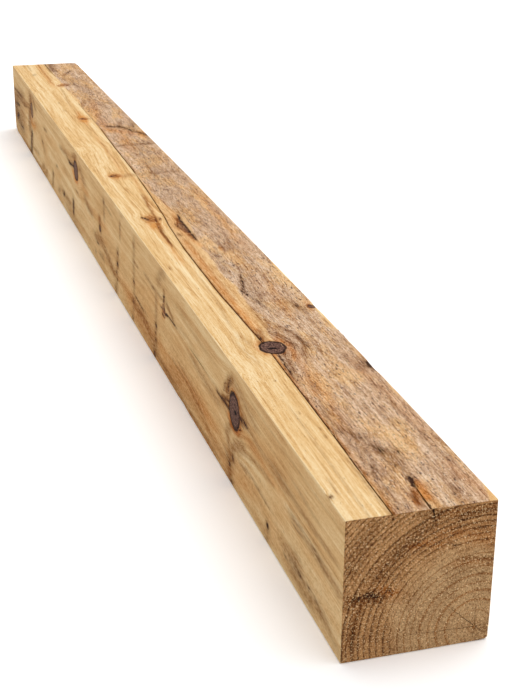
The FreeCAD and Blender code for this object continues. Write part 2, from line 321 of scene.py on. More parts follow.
# Stains. Each is a path, its half-size along and across, and its strength. Points of a path
# are (along, across) on the upper and lower faces, (along, up) on the sides and (across, up)
# on the ends, in millimetres. Soil is dirt, amber is resin, ash is greying, umber is tannin.
STAINS = {
    # Upper face.
    "top": {
        "soil": [
            ([(0, 86.8), (22, 87.2)], (8, 1.3), 0.9), ([(20, 80), (32, 80)], (5, 1.8), 0.9),
            ([(28, 126), (36, 124)], (6, 3), 0.6), ([(30, 87), (44, 89)], (5, 1.2), 0.6),
            ([(46, 0)], (8, 2.4), 0.6), ([(48, 89), (64, 91)], (6, 2.4), 1.4), ([(50, 3)], (5, 3.2), 1.1),
            ([(122, 102)], (8, 2.4), 0.9), ([(131, 86)], (9, 4), 1.2), ([(190, 128)], (4, 1.4), 0.8),
            ([(330, 34.5)], (2.6, 1.2), 0.9), ([(345, 58.5), (408, 62)], (16, 2.2), 0.9),
            ([(348, 156)], (13, 4.5), 1.3), ([(395, 119)], (4, 1.6), 0.9),
            ([(425, 104.5), (456, 103)], (14, 1.8), 0.7), ([(452, 56), (474, 57)], (10, 2.0), 0.8),
            ([(479, 95)], (4, 1.5), 1.0), ([(520, 125)], (5, 2), 0.8), ([(554, 154)], (8, 4), 1.0),
            ([(560, 136)], (12, 4.5), 0.8), ([(570, 94), (600, 90), (632, 83.5)], (14, 2.6), 0.75),
            ([(634, 82)], (6, 3.4), 1.1), ([(640, 86), (694, 98.5)], (10, 1.8), 0.9),
            ([(742, 101)], (5, 1.6), 1.0), ([(829, 107)], (5, 1.4), 0.7),
            ([(872, 38.5), (952, 40)], (16, 1.2), 0.7),
            ([(880, 80), (930, 81), (985, 81.5), (1006, 84)], (12, 2.6), 1.1),
            ([(905, 79), (950, 77.5), (985, 80)], (12, 3.4), 0.7),
            ([(938, 71), (955, 68), (968, 72)], (9, 2.6), 0.7), ([(984, 43), (1000, 46)], (7, 2), 0.7),
            ([(997, 52)], (5, 2), 1.2), ([(998, 33), (1010, 26)], (5, 1.8), 1.4),
            ([(1274, 27), (1279, 36)], (4, 2.4), 1.2), ([(1500, 134), (1506, 148)], (8, 3), 0.5),
            ([(1576, 158), (1592, 150), (1614, 136), (1640, 131), (1658, 120), (1667, 96)], (10, 4.2), 0.95),
            ([(1655, 121), (1664, 112)], (8, 5), 0.8), ([(1753, 60)], (6, 3.6), 1.6),
            ([(1884, 120)], (7, 3), 0.6), ([(1900, 137), (1892, 148)], (6, 3), 0.8),
            ([(1922, 38.5)], (6, 1.6), 0.7), ([(2102, 131)], (13, 3), 0.6), ([(2120, 157)], (8, 3), 0.6),
            ([(2122, 105)], (9, 2.8), 1.0), ([(2255, 29), (2265, 38)], (9, 2), 0.5),
            ([(2268, 113), (2286, 124)], (7, 3), 1.1), ([(2290, 77), (2400, 79)], (20, 1.8), 0.9),
            ([(2296, 92)], (10, 2.6), 0.9),
        ],
        "amber": [
            ([(0, 50.2), (190, 53.6), (400, 57)], (30, 2.0), 0.7), ([(18, 79), (34, 84)], (9, 4), 1.1),
            ([(20, 150), (70, 142)], (26, 8), 0.42), ([(25, 92), (52, 94)], (9, 5.5), 1.4),
            ([(190, 66), (250, 74), (330, 82)], (26, 7), 0.38), ([(200, 148), (330, 142)], (50, 8), 0.3),
            ([(290, 68), (400, 84)], (22, 5), 0.5),
            ([(385, 75), (405, 82), (432, 83.5), (455, 76)], (9, 4), 1.0),
            ([(404, 52), (415, 44), (436, 42), (452, 49)], (7, 2.6), 0.35),
            ([(500, 60), (620, 58), (760, 60), (860, 62)], (26, 5.5), 0.75),
            ([(548, 150), (566, 152)], (12, 5), 0.8), ([(560, 118), (640, 128)], (50, 6), 0.35),
            ([(795, 34), (870, 35), (970, 38)], (30, 5.5), 0.5), ([(826, 105.5)], (9, 3.2), 1.1),
            ([(850, 78), (900, 74), (955, 70), (1010, 80)], (18, 5), 0.6),
            ([(860, 140), (1080, 146)], (80, 8), 0.4), ([(958, 37), (1000, 40)], (22, 12), 1.0),
            ([(1000, 84), (1030, 80), (1100, 79)], (20, 2), 0.6),
            ([(1020, 50), (1120, 56)], (24, 4.5), 0.5), ([(1180, 60), (1250, 64)], (40, 3), 0.35),
            ([(1276, 37)], (22, 13), 1.0), ([(1300, 52), (1400, 57), (1560, 58)], (36, 3.5), 0.45),
            ([(1480, 100), (1560, 110)], (40, 10), 0.45),
            ([(1580, 150), (1620, 110), (1640, 92), (1700, 92)], (24, 12), 0.62),
            ([(1700, 92), (1850, 100), (1900, 112)], (40, 8), 0.45),
            ([(1705, 61), (1806, 62)], (18, 2.6), 1.0),
            ([(1726, 61), (1750, 63), (1770, 62)], (16, 9), 1.2), ([(2110, 72), (2130, 84)], (16, 9), 0.8),
            ([(2150, 58), (2400, 62)], (60, 5), 0.7),
        ],
        "ash": [
            ([(20, 60), (170, 66)], (40, 7), 0.39), ([(66, 91), (110, 98)], (16, 4), 0.56),
            ([(100, 88), (160, 78), (186, 62)], (18, 6), 0.73), ([(120, 70), (210, 72)], (30, 4), 0.39),
            ([(122, 92), (140, 84)], (12, 7), 0.9), ([(190, 58), (240, 62)], (20, 5), 0.56),
            ([(345, 146)], (14, 6), 0.67), ([(560, 118), (820, 128), (980, 112)], (80, 14), 0.17),
            ([(600, 96), (720, 104)], (30, 9), 0.45), ([(720, 84), (800, 92)], (26, 7), 0.62),
            ([(820, 112), (850, 108)], (16, 6), 0.56), ([(905, 61)], (8, 3), 0.45),
            ([(1040, 92), (1180, 100), (1440, 120)], (80, 16), 0.34),
            ([(1300, 104), (1440, 116)], (40, 9), 0.39), ([(1640, 138), (1680, 150)], (24, 9), 0.67),
            ([(1940, 110), (2080, 120), (2200, 96)], (60, 14), 0.34),
            ([(2310, 86), (2400, 92)], (30, 7), 1.1),
        ],
        "umber": [
            ([(0, 25), (130, 26), (230, 28)], (30, 1.6), 0.4), ([(0, 45.5), (110, 46)], (20, 2.2), 0.63),
            ([(0, 48.6), (190, 52.2), (404, 55.2)], (8, 1.3), 1.03),
            ([(10, 118), (60, 124)], (16, 5), 0.46), ([(14, 80), (36, 84)], (9, 3.5), 0.8),
            ([(60, 12), (80, 13)], (8, 0.9), 0.8), ([(176, 42)], (4, 1.2), 1.15),
            ([(196, 43)], (4, 1.0), 0.8), ([(238, 110)], (16, 4), 0.57), ([(239, 34)], (3, 1.2), 0.92),
            ([(290, 30)], (3, 0.9), 0.69), ([(350, 62), (408, 72)], (18, 4.5), 0.8),
            ([(395, 92), (430, 104), (464, 100), (492, 90)], (14, 4.5), 0.86),
            ([(400, 30), (450, 24)], (30, 4), 0.21), ([(428, 90), (455, 84), (478, 72)], (12, 4.5), 0.8),
            ([(446, 54), (462, 60), (486, 63)], (12, 5), 0.92), ([(452, 38), (475, 34)], (16, 5), 0.34),
            ([(455, 78), (490, 74), (520, 82)], (14, 4), 0.57),
            ([(456, 55.2), (500, 53.8), (640, 50.8), (840, 52.6)], (8, 1.7), 1.49),
            ([(505, 74), (560, 76)], (18, 4), 0.57), ([(520, 32), (600, 40), (700, 42)], (26, 1.6), 0.34),
            ([(540, 138), (575, 132)], (14, 6), 0.69), ([(620, 62), (760, 62), (880, 62)], (30, 8), 0.3),
            ([(640, 84), (690, 96)], (12, 4), 0.69), ([(754, 11)], (9, 2.6), 0.8),
            ([(840, 52.6), (960, 57.8), (1000, 61.5), (1150, 68.5), (1256, 72.5)], (8, 1.3), 1.03),
            ([(868, 38), (920, 38.5), (975, 44)], (20, 2.2), 1.26),
            ([(890, 77.5), (940, 76), (985, 78.5)], (14, 5), 1.1), ([(905, 61)], (12, 4.5), 0.86),
            ([(990, 39), (1003, 40)], (11, 10), 0.92),
            ([(1015, 47), (1070, 50), (1130, 55)], (20, 2.4), 1.03),
            ([(1272, 50), (1277, 75), (1279, 120), (1282, 150)], (12, 9), 0.48),
            ([(1276, 36)], (10, 8), 0.92), ([(1290, 74.0), (1500, 76.8), (1650, 80.2)], (8, 1.5), 1.15),
            ([(1365, 57), (1520, 59)], (28, 2.0), 0.4),
            ([(1496, 80), (1500, 115), (1503, 158)], (9, 7), 0.69),
            ([(1655, 120), (1700, 128)], (16, 5), 0.69), ([(1700, 80.5), (1880, 80)], (10, 1.3), 0.69),
            ([(1748, 70)], (10, 7), 0.8), ([(1840, 38)], (9, 2.6), 0.57),
            ([(1850, 128), (1880, 130)], (16, 5), 0.57), ([(1885, 85), (1930, 98)], (14, 5), 0.57),
            ([(2070, 70), (1900, 58)], (40, 1.4), 0.4), ([(2112, 70), (2122, 92)], (12, 6), 0.75),
            ([(2180, 60), (2400, 62)], (40, 2.2), 0.63), ([(2330, 34), (2380, 34)], (24, 2.4), 0.52),
        ],
    },
    # Left face.
    "left": {
        "soil": [
            ([(55, 73), (85, 81)], (12, 1.6), 0.52), ([(74, 26)], (6, 2.2), 0.8),
            ([(98, 27)], (6, 2.2), 0.92), ([(128, 26)], (8, 3.2), 1.03),
            ([(130, 73), (150, 72)], (9, 1.6), 0.46), ([(176, 20)], (7, 2.2), 0.92),
            ([(243, 22.5)], (4.2, 4.2), 1.72), ([(326, 106), (342, 107), (356, 104)], (8, 4.0), 0.98),
            ([(346, 100), (356, 97)], (5, 2.6), 0.69), ([(352, 92), (360, 88)], (5, 1.2), 1.03),
            ([(387, 38)], (5.5, 5), 1.09), ([(393, 4)], (8, 3), 1.26),
            ([(396, 136), (405, 128), (407, 116)], (5, 3.0), 0.8),
            ([(400, 95), (420, 96), (456, 96)], (8, 2.8), 1.09),
            ([(400, 107), (420, 101), (436, 97)], (7, 2.6), 0.8), ([(401, 24)], (5, 4.5), 1.26),
            ([(420, 124), (428, 110)], (4, 1.8), 0.69),
            ([(684, 100), (705, 100), (732, 99), (742, 96)], (12, 1.6), 1.15),
            ([(727, 99.5), (740, 96)], (5, 1.5), 1.95), ([(745, 122), (752, 118)], (5, 1.5), 1.15),
            ([(747, 115), (753, 111)], (5, 1.5), 1.15), ([(748, 101)], (4, 2.6), 2.07),
            ([(757, 90)], (5, 2.4), 1.84), ([(762, 99), (771, 97)], (5, 1.2), 1.26),
            ([(804, 56)], (7, 4.5), 1.38), ([(808, 43)], (6, 2.6), 0.92), ([(808, 32)], (7, 3), 1.03),
            ([(810, 110), (822, 109)], (8, 2), 0.46), ([(819, 5)], (8, 5), 1.26),
            ([(900, 48), (942, 51)], (12, 2.2), 0.8), ([(960, 72)], (6, 3.6), 1.26),
            ([(970, 36)], (7, 3), 1.03), ([(974, 6)], (8, 4), 0.92), ([(1064, 130)], (5, 4), 0.69),
            ([(1088, 79)], (8, 4), 1.03), ([(1092, 59)], (8, 5), 1.49), ([(1098, 30)], (8, 3), 0.8),
            ([(1104, 41)], (8, 3), 0.92), ([(1203, 135)], (6, 3), 1.03), ([(1246, 75)], (7, 5.5), 1.72),
            ([(1266, 42), (1278, 40)], (8, 2.6), 0.92), ([(1298, 18)], (8, 3), 0.92),
            ([(1505, 122), (1530, 119), (1560, 117)], (12, 3.6), 1.15),
            ([(1530, 46), (1536, 24)], (10, 8), 1.09), ([(1640, 34), (1652, 28)], (9, 4), 1.03),
            ([(1720, 70), (1734, 66)], (12, 3), 0.57), ([(1784, 38)], (9, 4), 0.69),
            ([(1925, 73)], (12, 3), 0.8), ([(2092, 58), (2106, 40), (2114, 14), (2122, 0)], (16, 9), 0.98),
            ([(2098, 110), (2150, 104), (2218, 94)], (16, 1.8), 0.6),
            ([(2252, 34), (2276, 32)], (18, 4), 0.8),
            ([(2260, 108), (2330, 107), (2390, 103)], (22, 3.2), 0.8),
            ([(2310, 78), (2352, 73)], (20, 4), 1.03), ([(2320, 52), (2350, 40)], (16, 5), 1.03),
        ],
        "amber": [
            ([(230, 86), (310, 92), (345, 88)], (30, 5), 0.4),
            ([(330, 28), (390, 14), (470, 20), (520, 26)], (40, 10), 0.5),
            ([(350, 112), (362, 124), (384, 127)], (7, 2.6), 0.6),
            ([(352, 92), (368, 80), (392, 79), (404, 88)], (8, 4), 1.0),
            ([(500, 40), (700, 34), (860, 26), (980, 34)], (60, 16), 0.48),
            ([(750, 96), (758, 90)], (8, 6), 1.0), ([(1180, 92), (1300, 88)], (40, 10), 0.4),
            ([(1380, 106), (1450, 112)], (40, 8), 0.4),
            ([(1478, 100), (1500, 98), (1520, 108)], (14, 6), 1.0),
            ([(2040, 84), (2062, 76), (2090, 80)], (22, 9), 0.9),
        ],
        "ash": [
            ([(10, 10), (60, 20)], (20, 6), 0.39), ([(15, 74), (70, 77), (150, 80)], (22, 8), 0.69),
            ([(40, 101), (130, 100), (210, 106)], (30, 4), 0.64), ([(90, 116), (140, 120)], (24, 3), 0.39),
            ([(100, 12), (150, 14), (140, 40)], (22, 7), 0.52), ([(243, 20)], (10, 10), 0.6),
            ([(248, 4)], (12, 6), 0.69), ([(412, 30), (425, 36)], (9, 4), 0.44),
            ([(540, 128), (640, 130)], (60, 6), 0.3), ([(700, 106), (728, 112)], (12, 5), 0.52),
            ([(750, 154), (768, 146), (785, 130)], (14, 9), 0.56),
            ([(775, 112), (820, 110), (868, 112)], (18, 4), 0.64),
            ([(800, 104), (804, 60), (808, 30), (820, 3)], (10, 8), 0.6),
            ([(952, 140), (958, 106), (960, 72), (962, 40)], (10, 8), 0.52),
            ([(968, 24), (980, 8)], (8, 6), 0.44), ([(1110, 6)], (14, 8), 0.6),
            ([(1202, 140), (1204, 104)], (9, 6), 0.6), ([(1228, 28), (1250, 26)], (16, 6), 0.69),
            ([(1362, 81)], (12, 5), 0.6), ([(1500, 4), (1600, 14)], (40, 8), 0.44),
            ([(1532, 36)], (15, 16), 0.6), ([(1866, 112), (1888, 110)], (12, 3), 0.44),
            ([(2100, 40), (2130, 6)], (22, 14), 0.52),
            ([(2230, 112), (2330, 100), (2380, 70), (2340, 40), (2280, 30)], (40, 16), 0.8),
        ],
        "umber": [
            ([(0, 142), (120, 141), (300, 144)], (40, 1.4), 0.34), ([(50, 158)], (6, 2.4), 1.03),
            ([(60, 22), (130, 26), (175, 30)], (26, 8), 0.63),
            ([(190, 98), (300, 104), (352, 116), (372, 130)], (22, 5), 0.57),
            ([(240, 82), (290, 78), (350, 66)], (22, 3), 0.57),
            ([(250, 48), (310, 52), (350, 46)], (26, 2.2), 0.69),
            ([(300, 122), (345, 134), (380, 140)], (26, 7), 0.57), ([(330, 112), (352, 118)], (16, 6), 0.8),
            ([(336, 107), (356, 104)], (9, 6), 1.14),
            ([(345, 72), (370, 62), (390, 48), (402, 26), (402, 2)], (18, 9), 0.84),
            ([(388, 140), (404, 132), (413, 118), (412, 106)], (9, 7), 1.1),
            ([(398, 76), (412, 62), (402, 44)], (13, 6), 0.75), ([(402, 102), (430, 98)], (12, 7), 1.37),
            ([(420, 22), (470, 18), (520, 26)], (22, 6), 0.46),
            ([(455, 100), (520, 98), (620, 110), (684, 98)], (40, 3.2), 0.25),
            ([(460, 84), (520, 84), (580, 90)], (30, 7), 0.57),
            ([(500, 6), (640, 4), (800, 10)], (50, 6), 0.69),
            ([(542, 33), (600, 41), (690, 43)], (22, 3.4), 0.7), ([(560, 46), (640, 52)], (30, 4), 0.46),
            ([(560, 32), (700, 28)], (40, 9), 0.32), ([(684, 101), (705, 108), (735, 118)], (10, 3.0), 0.6),
            ([(748, 128), (749, 108)], (6, 5), 0.8), ([(820, 22), (900, 34), (955, 34)], (30, 11), 0.69),
            ([(880, 50), (950, 50)], (20, 3), 0.57), ([(955, 106), (930, 106)], (10, 3), 0.69),
            ([(957, 133)], (7, 5), 0.8), ([(1050, 154)], (16, 4), 0.46),
            ([(1062, 138), (1066, 112)], (7, 5), 0.69),
            ([(1086, 84), (1096, 56), (1104, 28), (1116, 4)], (12, 8), 0.63),
            ([(1130, 34), (1180, 44), (1240, 56), (1290, 48)], (26, 9), 0.86),
            ([(1150, 131), (1200, 133)], (20, 4), 0.57), ([(1246, 92), (1246, 74)], (14, 9), 0.92),
            ([(1330, 80), (1362, 82), (1390, 90)], (20, 8), 0.69),
            ([(1400, 118), (1440, 134), (1466, 128)], (22, 8), 0.63),
            ([(1474, 78), (1492, 78)], (12, 3), 0.8), ([(1486, 146), (1516, 138)], (16, 6), 0.69),
            ([(1500, 128), (1560, 118), (1600, 124), (1660, 121)], (26, 5), 0.8),
            ([(1580, 32), (1655, 32)], (26, 8), 0.75), ([(1700, 26), (1716, 20)], (12, 6), 0.69),
            ([(1786, 38), (1800, 12)], (12, 8), 0.86), ([(1866, 112), (1885, 110)], (16, 4), 0.69),
            ([(1880, 18), (1900, 8)], (18, 8), 0.69), ([(1905, 60), (1930, 74)], (16, 8), 0.57),
            ([(1920, 22), (1940, 12)], (20, 7), 0.69), ([(1960, 4), (2200, 4)], (90, 6), 0.69),
            ([(2000, 32), (2060, 26)], (24, 3), 0.69), ([(2020, 128), (2060, 144)], (24, 8), 0.69),
            ([(2090, 140), (2120, 84), (2130, 60)], (26, 10), 1.05),
            ([(2110, 118), (2220, 98), (2320, 96)], (30, 6), 0.69),
            ([(2260, 60), (2400, 60)], (60, 40), 0.7),
        ],
    },
    # Right face: rows left by stacking sticks, resin by the knots, a dirty lower edge.
    "right": {
        "soil": [
            ([(408, 118), (410, 90)], (8, 7), 0.6), ([(636, 92), (700, 90)], (18, 2.2), 0.8),
            ([(1014, 60), (1016, 40)], (8, 6), 0.7), ([(1636, 96), (1638, 84)], (8, 5), 0.6),
            ([(1955, 112), (2030, 108)], (24, 2.4), 0.8),
        ],
        "amber": [
            ([(560, 80), (640, 74), (700, 90)], (40, 10), 0.7),
            ([(1850, 100), (1940, 92), (2040, 108)], (50, 11), 0.7),
        ],
        "ash": [
            ([(0, 120), (130, 116)], (60, 14), 0.32), ([(405, 150), (412, 20)], (13, 10), 0.42),
            ([(1010, 150), (1016, 16)], (14, 10), 0.42), ([(1632, 152), (1640, 10)], (13, 11), 0.42),
            ([(2300, 60), (2400, 70)], (60, 24), 0.42),
        ],
        "umber": [
            ([(100, 10), (1200, 8), (2300, 12)], (120, 9), 0.6),
            ([(560, 96), (610, 104), (700, 88), (860, 92)], (40, 8), 0.6),
            ([(1240, 60), (1345, 56), (1460, 66)], (40, 7), 0.6),
            ([(2180, 150), (2184, 10)], (16, 12), 0.5),
        ],
    },
    # Under face.
    "bottom": {
        "soil": [
            ([(400, 10), (404, 150)], (14, 12), 0.6), ([(1010, 10), (1014, 150)], (14, 12), 0.6),
            ([(1630, 10), (1636, 150)], (14, 12), 0.6),
        ],
        "amber": [
            ([(820, 70), (960, 74)], (60, 12), 0.6), ([(1660, 110), (1780, 108)], (60, 12), 0.6),
        ],
        "ash": [
            ([(700, 60), (900, 80), (1300, 70)], (140, 26), 0.5),
        ],
        "umber": [
            ([(0, 20), (2400, 14)], (90, 9), 0.6), ([(0, 142), (2400, 148)], (90, 8), 0.6),
        ],
    },
    # Near end.
    "near": {
        "soil": [
            ([(14, 48), (10, 24)], (3, 3), 0.5), ([(17, 70), (24, 72), (33, 71)], (6, 5), 0.8),
            ([(46, 76), (50, 72)], (2, 1.6), 1.0), ([(80, 159), (90, 158)], (5, 2.0), 0.9),
            ([(108, 118), (110, 116)], (2, 1.2), 0.8), ([(113, 113.5), (117, 113)], (3, 1.4), 1.0),
            ([(118, 141), (124, 140)], (4, 1.4), 0.7), ([(142, 16.5)], (1.0, 1.2), 0.9),
        ],
        "amber": [
            ([(38, 76), (46, 74), (52, 70)], (6, 5), 1.0),
            ([(70, 118), (84, 121), (97, 116)], (7, 3.4), 0.8), ([(110, 128), (158, 112)], (18, 8), 0.5),
            ([(118, 92), (140, 91), (160, 86)], (6, 4), 0.5), ([(140.5, 17)], (2.0, 2.4), 1.0),
        ],
        "ash": [
            ([(4, 104), (16, 128), (30, 146)], (8, 8), 0.55),
            ([(34, 92), (54, 112), (76, 132), (90, 150)], (9, 9), 0.45),
        ],
        "umber": [
            ([(0, 158), (160, 158)], (30, 2.6), 0.4), ([(1, 0), (1, 160)], (2, 30), 0.45),
            ([(10, 68), (26, 70), (36, 67)], (9, 8), 1.1), ([(20, 62), (13, 44), (10, 22)], (6, 6), 0.95),
            ([(28, 86), (46, 104), (62, 120), (84, 138)], (11, 11), 0.42),
            ([(30, 84), (40, 94)], (7, 7), 0.5), ([(88, 156), (90, 148), (91.4, 141)], (2.4, 3), 0.8),
            ([(96, 150), (120, 148), (156, 150)], (14, 9), 0.8), ([(112, 132), (158, 128)], (16, 8), 0.45),
            ([(122, 96.5), (140, 95), (160, 90)], (5, 1.6), 1.2), ([(153, 12), (160, 30)], (5, 5), 0.5),
        ],
    },
    # Far end.
    "far": {
        "soil": [
            ([(60, 120), (66, 116)], (7, 5), 0.8),
        ],
        "ash": [
            ([(30, 20), (120, 30)], (30, 20), 0.5),
        ],
        "umber": [
            ([(20, 130), (60, 90), (100, 60)], (20, 20), 0.6),
        ],
    },
}
STAIN_KINDS = ("soil", "amber", "ash", "umber")


def stain_strength(path, size, places):
    """1 on the path, falling to nothing about twice its half-size away."""
    scaled = np.asarray(places, float) / size
    turns = np.asarray(path, float) / size
    if len(turns) == 1:
        turns = np.vstack([turns, turns])
    closest = np.full(len(scaled), 1e9)
    for start, stop in zip(turns[:-1], turns[1:]):
        run = stop - start
        share = np.clip((scaled - start) @ run / max(run @ run, 1e-9), 0, 1)
        gap = scaled - start - share[:, None] * run
        closest = np.minimum(closest, (gap**2).sum(1))
    return np.exp(-closest * 1.1)


# Each point of the mesh knows its face and its place on it.
spots = np.array(body_points)
cap_points = body_points[len(stations) * COLUMNS:]
point_faces = np.array([entry[0] for entry in outline] * len(stations)
                       + ["near" if p[1] < LENGTH / 2 else "far" for p in cap_points])
across_spots, along_spots, up_spots = spots.T
by_face = {"top": (along_spots, across_spots), "bottom": (along_spots, across_spots),
           "left": (along_spots, up_spots), "right": (along_spots, up_spots),
           "near": (across_spots, up_spots), "far": (across_spots, up_spots)}
stain_values = {kind: np.zeros(len(spots)) for kind in STAIN_KINDS}
for face, kinds in STAINS.items():
    on_face = np.flatnonzero(point_faces == face)
    places = np.column_stack(by_face[face])[on_face]
    for kind, marks in kinds.items():
        for path, size, strength in marks:
            added = strength * stain_strength(path, size, places)
            stain_values[kind][on_face] = np.maximum(stain_values[kind][on_face], added)

# The upper face is weathered from the check, or a little beyond it, to its right edge.
WORN_EDGE = [(0, 0), (300, 0), (400, 4), (456, 14), (500, 22), (700, 26), (840, 28), (940, 33),
             (1000, 27), (1080, 13), (1180, 4), (1300, 1), (1700, 0), (1760, 12), (1860, 0), (1935, 8),
             (2080, 0), (2400, 0)]
edge_lump = np.array([rough(21, v / 38, u / 16, 0) for v, u in zip(along_spots, across_spots)])
worn_start = np.interp(along_spots, *zip(*CHECK_PATH)) + np.interp(along_spots, *zip(*WORN_EDGE))
softness = np.interp(along_spots, *zip(*[(v, 0.3 + w * 0.16) for v, w in WORN_EDGE]))
worn_values = np.clip((across_spots - worn_start + edge_lump * softness * 2) / softness + 0.5, 0, 1)
worn_values[point_faces != "top"] = 0.0
past_check = np.clip((across_spots - np.interp(along_spots, *zip(*CHECK_PATH))) / 0.3 + 0.5, 0, 1)
past_check[point_faces != "top"] = 0.0
# Along the right edge the weathering is missing here and there.
FRESH_EDGE = [(0, 13), (14, 10), (40, 2), (60, 0), (450, 0), (470, 3), (520, 5), (560, 4), (600, 0),
              (645, 0), (665, 3.5), (720, 4.5), (760, 0), (1560, 0), (1600, 4), (1660, 0), (2400, 0)]
fresh = np.interp(along_spots, *zip(*FRESH_EDGE))
under_fresh = np.clip((WIDTH - fresh * (1 + 0.5 * edge_lump) - across_spots) / 1.5 + 0.5, 0, 1)
worn_values *= np.where(fresh > 0.3, under_fresh, 1)
past_check *= np.where(fresh > 0.3, under_fresh, 1)
crack_values = np.array([depth / 2 for _, outline_here in sections for _, _, depth, _ in outline_here]
                        + [depth / HEART_CHECK_DEPTH for depth in cap_depths])

timber_mesh = bpy.data.meshes.new("timber")
all_faces = body_faces + [face for face, _ in cap_faces]
timber_mesh.from_pydata([in_metres(*p) for p in body_points], [], all_faces)
cut_end = np.isin(point_faces, ("near", "far")) * (1 - np.clip(crack_values, 0, 1))
upper_share = {"top": lambda turn: 1 - (turn or 0), "left": lambda turn: turn or 0}
upper_row = [upper_share[name](turn) if name in upper_share else 0.0 for name, _, _, turn in outline]
upper = np.array(upper_row * len(stations) + [0.0] * len(cap_depths))
point_values = dict(stain_values, worn=worn_values, past_check=past_check, crack=np.clip(crack_values, 0, 1),
                    cut_end=cut_end, upper=upper)
for name, values in point_values.items():
    timber_mesh.attributes.new(name, "FLOAT", "POINT").data.foreach_set("value", values.astype(np.float32))

# The OFBake map lays the timber out flat: one strip for each long
# face, and the two ends side by side above them.
bake_map = timber_mesh.uv_layers.new(name="OFBake")
MARGIN = 0.005
strip_low = MARGIN
strip_of_column = []
for name, face in FACES.items():
    members = [k for k, entry in enumerate(outline) if entry[0] == name]
    steps = [0.0]
    for k in members:
        here, there = sections[0][0][k], sections[0][0][(k + 1) % COLUMNS]
        steps.append(steps[-1] + min(math.hypot(there[0] - here[0], there[2] - here[2]), 2.6))
    for number in range(len(members)):
        low_edge = strip_low + (face.baked_share - MARGIN) * steps[number] / steps[-1]
        high_edge = strip_low + (face.baked_share - MARGIN) * steps[number + 1] / steps[-1]
        strip_of_column.append((low_edge, high_edge))
    strip_low += face.baked_share
ends_low, ends_height = strip_low, 1 - MARGIN - strip_low
flat_places = []
for row in range(len(stations) - 1):
    start, stop = (MARGIN + (1 - 2 * MARGIN) * stations[row + k] / LENGTH for k in (0, 1))
    for low_edge, high_edge in strip_of_column:
        flat_places += [start, low_edge, start, high_edge, stop, high_edge, stop, low_edge]
for face, end in cap_faces:
    for number in face:
        across, _, up = body_points[number]
        flat_places += [MARGIN + 0.5 * end + (0.5 - 2 * MARGIN) * across / WIDTH,
                        ends_low + ends_height * up / HEIGHT]
bake_map.data.foreach_set("uv", flat_places)
timber_mesh.polygons.foreach_set("material_index", [0] * len(body_faces) + [1] * len(cap_faces))
timber_mesh.set_sharp_from_angle(angle=math.radians(48))
timber_mesh.validate()
timber = bpy.data.objects.new("timber_sawn", timber_mesh)
bpy.context.scene.collection.objects.link(timber)


class Wire:
    """A shader socket. Arithmetic on wires adds Math nodes, and make() adds any other node."""

    def __init__(self, tree, socket=None):
        self.tree, self.socket = tree, socket

    def make(self, kind, settings=None, inputs=None, output=0):
        node = self.tree.nodes.new(kind)
        for name, value in (settings or {}).items():
            if name == "stops":
                ramp = node.color_ramp.elements
                while len(ramp) < len(value):
                    ramp.new(0.5)
                for element, (place, colour) in zip(ramp, value):
                    element.position, element.color = place, colour
            elif name == "interpolation":
                node.color_ramp.interpolation = value
            else:
                setattr(node, name, value)
        for name, value in (inputs or {}).items():
            if isinstance(value, Wire):
                self.tree.links.new(value.socket, node.inputs[name])
            else:
                node.inputs[name].default_value = value
        return Wire(self.tree, node.outputs[output])

    def math(self, operation, *values):
        return self.make("ShaderNodeMath", {"operation": operation}, dict(enumerate(values)))

    def __add__(self, other):
        return self.math("ADD", self, other)

    def __radd__(self, other):
        return self.math("ADD", other, self)

    def __sub__(self, other):
        return self.math("SUBTRACT", self, other)

    def __rsub__(self, other):
        return self.math("SUBTRACT", other, self)

    def __mul__(self, other):
        return self.math("MULTIPLY", self, other)

    def __rmul__(self, other):
        return self.math("MULTIPLY", other, self)

    def __truediv__(self, other):
        return self.math("DIVIDE", self, other)

    def __pow__(self, other):
        return self.math("POWER", self, other)

    def lowest(self, other):
        return self.math("MINIMUM", self, other)

    def highest(self, other):
        return self.math("MAXIMUM", self, other)

    def eased(self, low, high):
        """0 where this is at low, 1 at high, smooth between."""
        return self.make("ShaderNodeMapRange", {"interpolation_type": "SMOOTHSTEP"},
                         {"Value": self, "From Min": low, "From Max": high})

    def vector(self, operation, *values, output=0):
        return self.make("ShaderNodeVectorMath", {"operation": operation}, dict(enumerate(values)), output)

    def scaled(self, factor):
        """This vector times a number or a wire."""
        return self.make("ShaderNodeVectorMath", {"operation": "SCALE"}, {0: self, "Scale": factor})

    def output(self, key):
        """Another output of the node that this wire comes from."""
        return Wire(self.tree, self.socket.node.outputs[key])

    def blend(self, share, other, how="MIX"):
        """This colour, with another over it where share is 1."""
        return self.make("ShaderNodeMix", {"data_type": "RGBA", "blend_type": how},
                         {0: share, 6: self, 7: other}, 2)


def seen(red, green, blue):
    """A colour as a paint card gives it, 0 to 255, for a socket."""
    card = (c / 255 for c in (red, green, blue))
    return tuple(c / 12.92 if c <= 0.04045 else ((c + 0.055) / 1.055) ** 2.4 for c in card) + (1.0,)


def grain(place, across, along, detail=2.0, roughness=0.5, seed=0.0):
    """Noise drawn out along the timber: lumps so many millimetres across and along."""
    stretch = (1 / across, 1 / along, 1 / across)
    moved = place.vector("MULTIPLY_ADD", place, stretch, (seed, seed * 1.7, seed * 0.6))
    return place.make("ShaderNodeTexNoise", {"noise_dimensions": "3D"},
                      {"Vector": moved, "Scale": 1.0, "Detail": detail, "Roughness": roughness})
